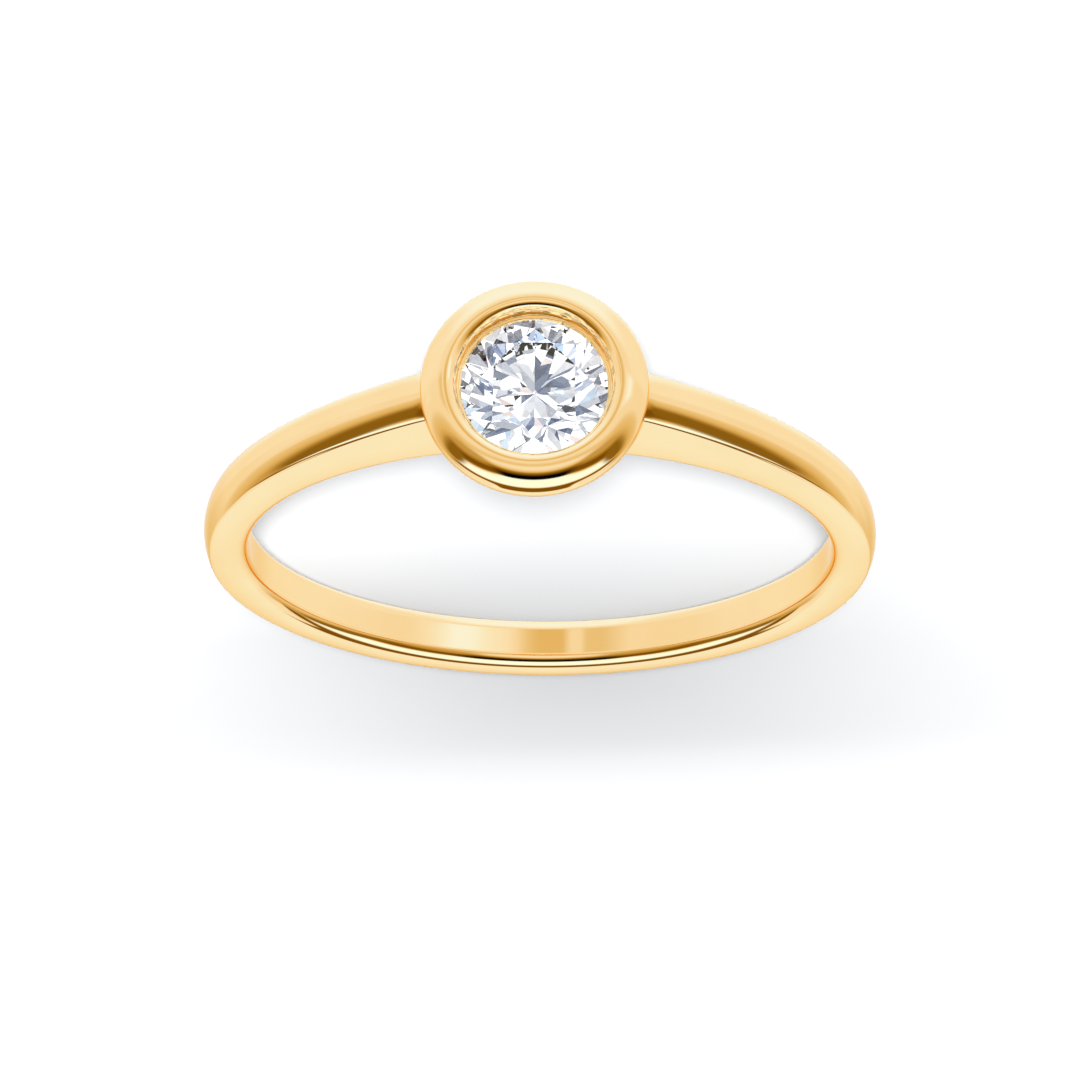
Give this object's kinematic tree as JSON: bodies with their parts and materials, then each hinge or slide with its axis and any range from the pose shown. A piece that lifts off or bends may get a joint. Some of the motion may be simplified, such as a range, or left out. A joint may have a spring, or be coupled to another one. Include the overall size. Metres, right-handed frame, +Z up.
{
  "type": "bezel set ring",
  "caption": "Slim yellow gold finger ring with a round brilliant stone in a rolled bezel, lying on its side.",
  "frame": {"origin": "on the surface that the ring lies on, under the middle of its box", "axes": "+Z up from that surface, -Y towards the stone, +X across the finger hole"},
  "size_m": [0.0196, 0.022, 0.0062],
  "materials": {
    "gold": "polished yellow gold",
    "stone": "clear, colourless, facet cut"
  },
  "bodies": {
    "root": {"band_and_bezel": "gold", "stone": "stone"}
  },
  "joints": []
}
